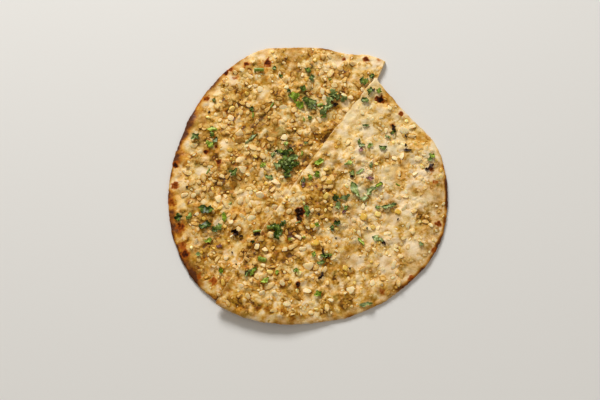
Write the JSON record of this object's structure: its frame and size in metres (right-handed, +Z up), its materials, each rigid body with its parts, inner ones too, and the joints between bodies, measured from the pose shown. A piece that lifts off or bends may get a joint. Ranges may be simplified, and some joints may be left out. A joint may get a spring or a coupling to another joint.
{
  "type": "halved garlic flatbread",
  "caption": "Round thin flatbread baked with chopped garlic and coriander on top, cut straight across, with the right half lapped over the left one.",
  "frame": {"origin": "on the surface the bread lies on, under the middle of its box", "axes": "+Z up out of the topped side, +X towards the over half's baked rim, +Y towards the corner where the cut edges cross"},
  "size_m": [0.219, 0.2332, 0.0093],
  "materials": {
    "under_dough": "baked and buttered",
    "over_dough": "baked and buttered",
    "garlic": "moist",
    "toasted_garlic": "toasted",
    "coriander_leaf": "wilted and oiled",
    "coriander_stem": "moist",
    "char": "burnt",
    "onion": "moist"
  },
  "bodies": {
    "root": {"under_half": "under_dough", "over_half": "over_dough"}
  },
  "joints": []
}
